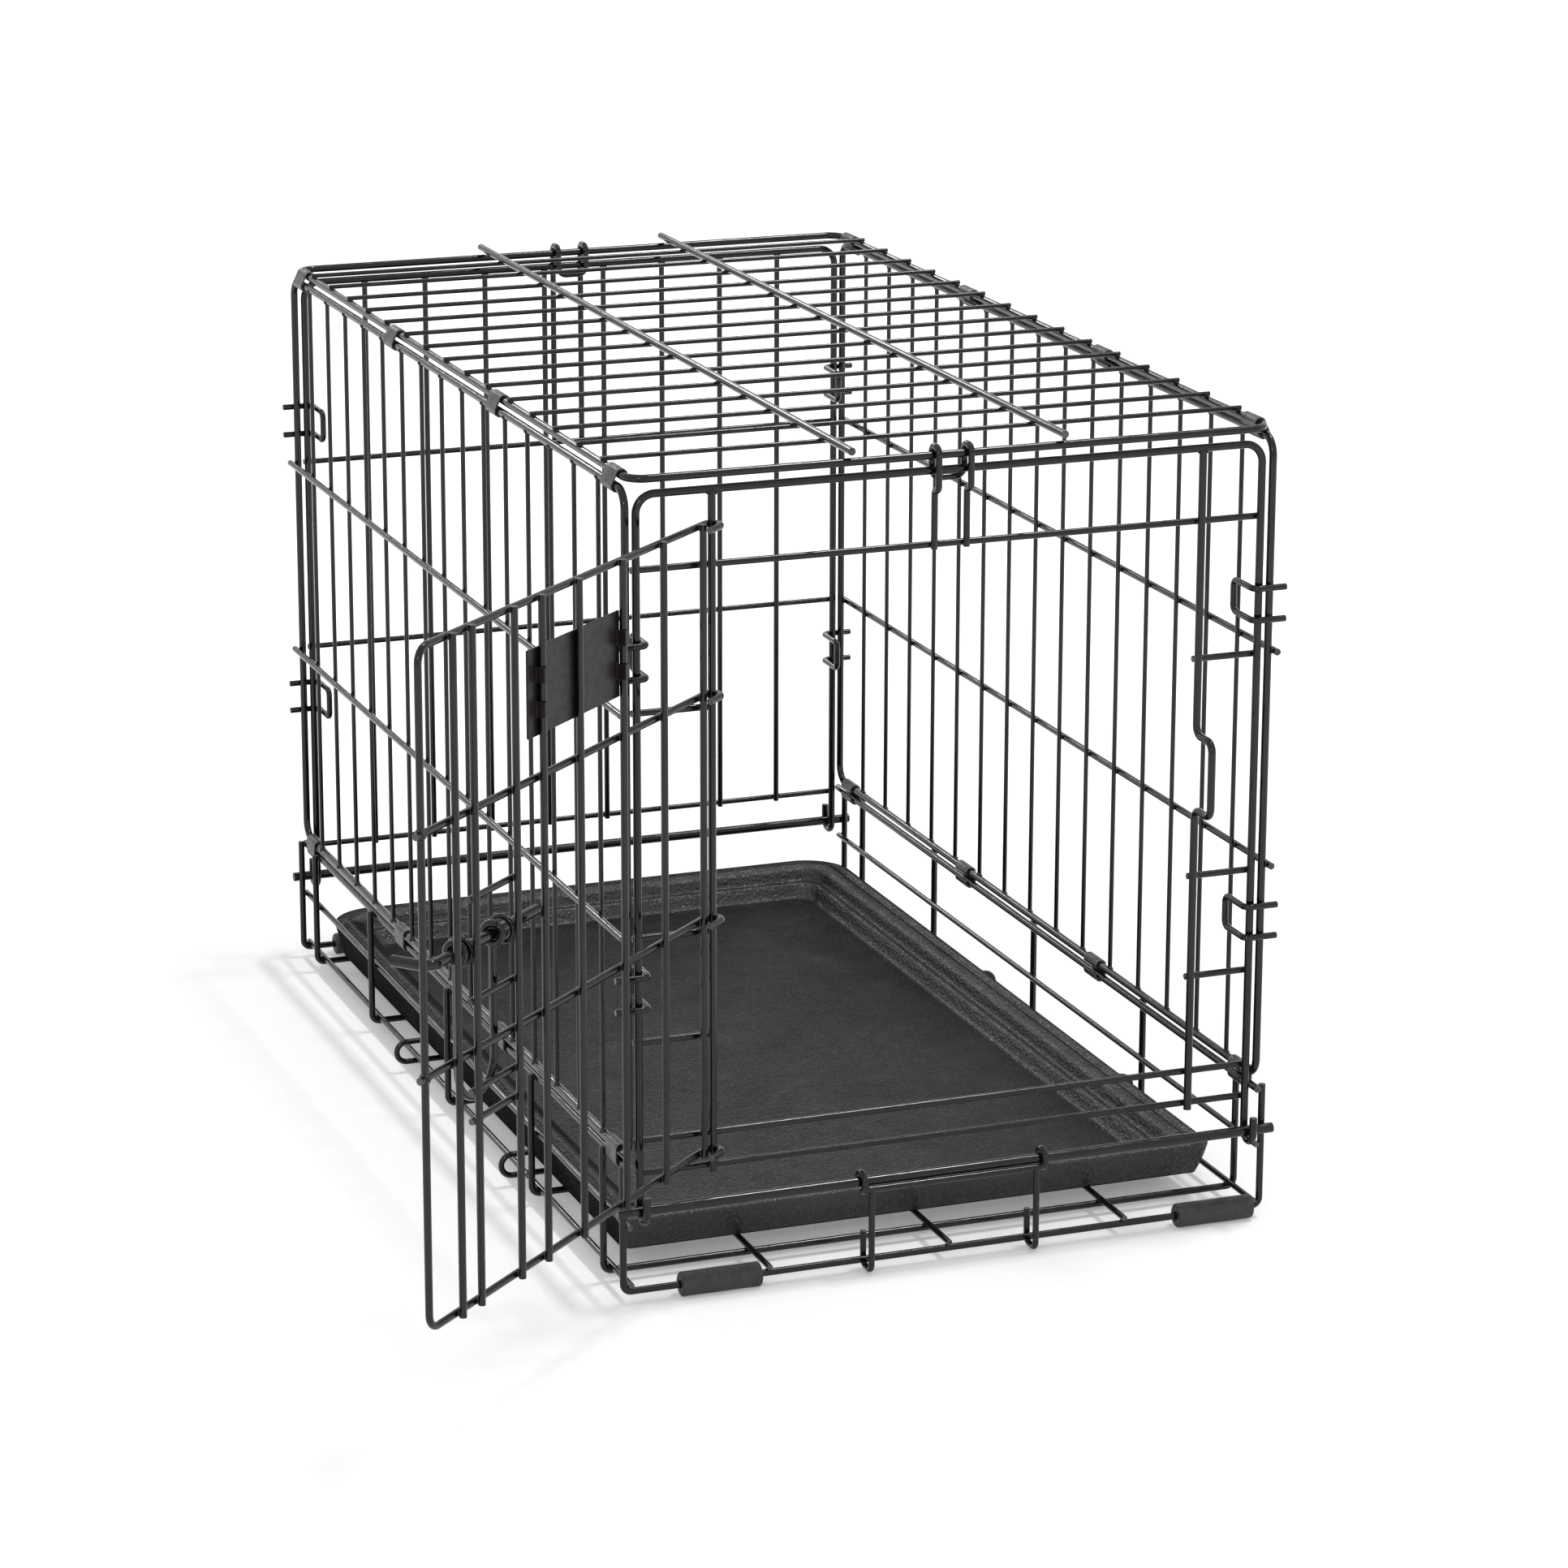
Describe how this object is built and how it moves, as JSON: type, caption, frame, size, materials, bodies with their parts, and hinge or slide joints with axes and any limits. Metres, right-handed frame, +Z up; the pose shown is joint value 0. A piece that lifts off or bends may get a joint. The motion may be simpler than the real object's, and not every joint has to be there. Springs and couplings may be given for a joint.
{
  "type": "wire dog crate",
  "caption": "Folding black wire dog crate, front door open, with slide bolt, sliding plastic tray and hinged tray stop.",
  "frame": {"origin": "on the ground, under the middle of the crate's outline", "axes": "+X to the crate's right seen from the front, +Y from the door to the rear panel, +Z up"},
  "size_m": [0.489, 0.7349, 0.403],
  "materials": {
    "black_wire": "satin black electro-coat over steel wire",
    "clip_steel": "satin black coated steel sheet",
    "foot_rubber": "matt dark grey rubber sleeve",
    "tray_plastic": "pebbled charcoal plastic",
    "plate_plastic": "satin dark brown-black plate, blank"
  },
  "bodies": {
    "crate": {"front_hinge_rail": "black_wire", "rear_hinge_rail": "black_wire", "base_side_rails": "black_wire", "base_wall_wires": "black_wire", "base_cross_frames": "black_wire", "base_floor_wires": "black_wire", "base_hairpin_ties": "black_wire", "front_feet": "foot_rubber", "rear_feet": "foot_rubber", "left_side_frame": "black_wire", "left_side_uprights": "black_wire", "left_side_bars": "black_wire", "left_ring_hooks": "black_wire", "right_side_frame": "black_wire", "right_side_uprights": "black_wire", "right_side_bars": "black_wire", "right_ring_hooks": "black_wire", "roof_frame": "black_wire", "roof_cross_wires": "black_wire", "roof_long_wires": "black_wire", "left_base_clips": "clip_steel", "right_base_clips": "clip_steel", "left_roof_clips": "clip_steel", "right_roof_clips": "clip_steel", "front_frame": "black_wire", "front_full_bars": "black_wire", "front_left_bars": "black_wire", "front_right_bars": "black_wire", "hinge_post": "black_wire", "latch_post": "black_wire", "front_top_latch": "black_wire"},
    "rear_panel": {"rear_frame": "black_wire", "rear_uprights": "black_wire", "rear_bars_set": "black_wire", "rear_top_latch": "black_wire"},
    "door": {"door_frame": "black_wire", "door_horizontals": "black_wire", "door_upright_wires": "black_wire", "door_handle_bars": "black_wire", "bolt_guides": "black_wire", "name_plate": "plate_plastic"},
    "bolt": {"bolt": "black_wire"},
    "bolt_handle": {"bolt_handle": "black_wire"},
    "tray": {"tray": "tray_plastic"},
    "tray_stop": {"tray_stop": "black_wire", "tray_stop_curls": "black_wire"}
  },
  "joints": [
    {"name": "door_swing", "type": "hinge", "parent": "crate", "child": "door", "pos_m": [-0.1197, -0.277, 0.22], "axis": [0, 0, 1], "range_deg": [-28, 138]},
    {"name": "bolt_slide", "type": "slide", "parent": "door", "child": "bolt", "axis": [-0.7431, -0.6691, 0], "range_m": [0, 0.018]},
    {"name": "handle_turn", "type": "hinge", "parent": "bolt", "child": "bolt_handle", "pos_m": [-0.27411, -0.40365, 0.2285], "axis": [0.7431, 0.6691, 0], "range_deg": [0, 95]},
    {"name": "rear_panel_fold", "type": "hinge", "parent": "crate", "child": "rear_panel", "pos_m": [0, 0.2822, 0.047], "axis": [1, 0, 0], "range_deg": [0, 88]},
    {"name": "tray_stop_swing", "type": "hinge", "parent": "crate", "child": "tray_stop", "pos_m": [0, -0.2822, 0.047], "axis": [-1, 0, 0], "range_deg": [0, 105]},
    {"name": "tray_slide", "type": "slide", "parent": "crate", "child": "tray", "axis": [0, -1, 0], "range_m": [0, 0.026]}
  ]
}
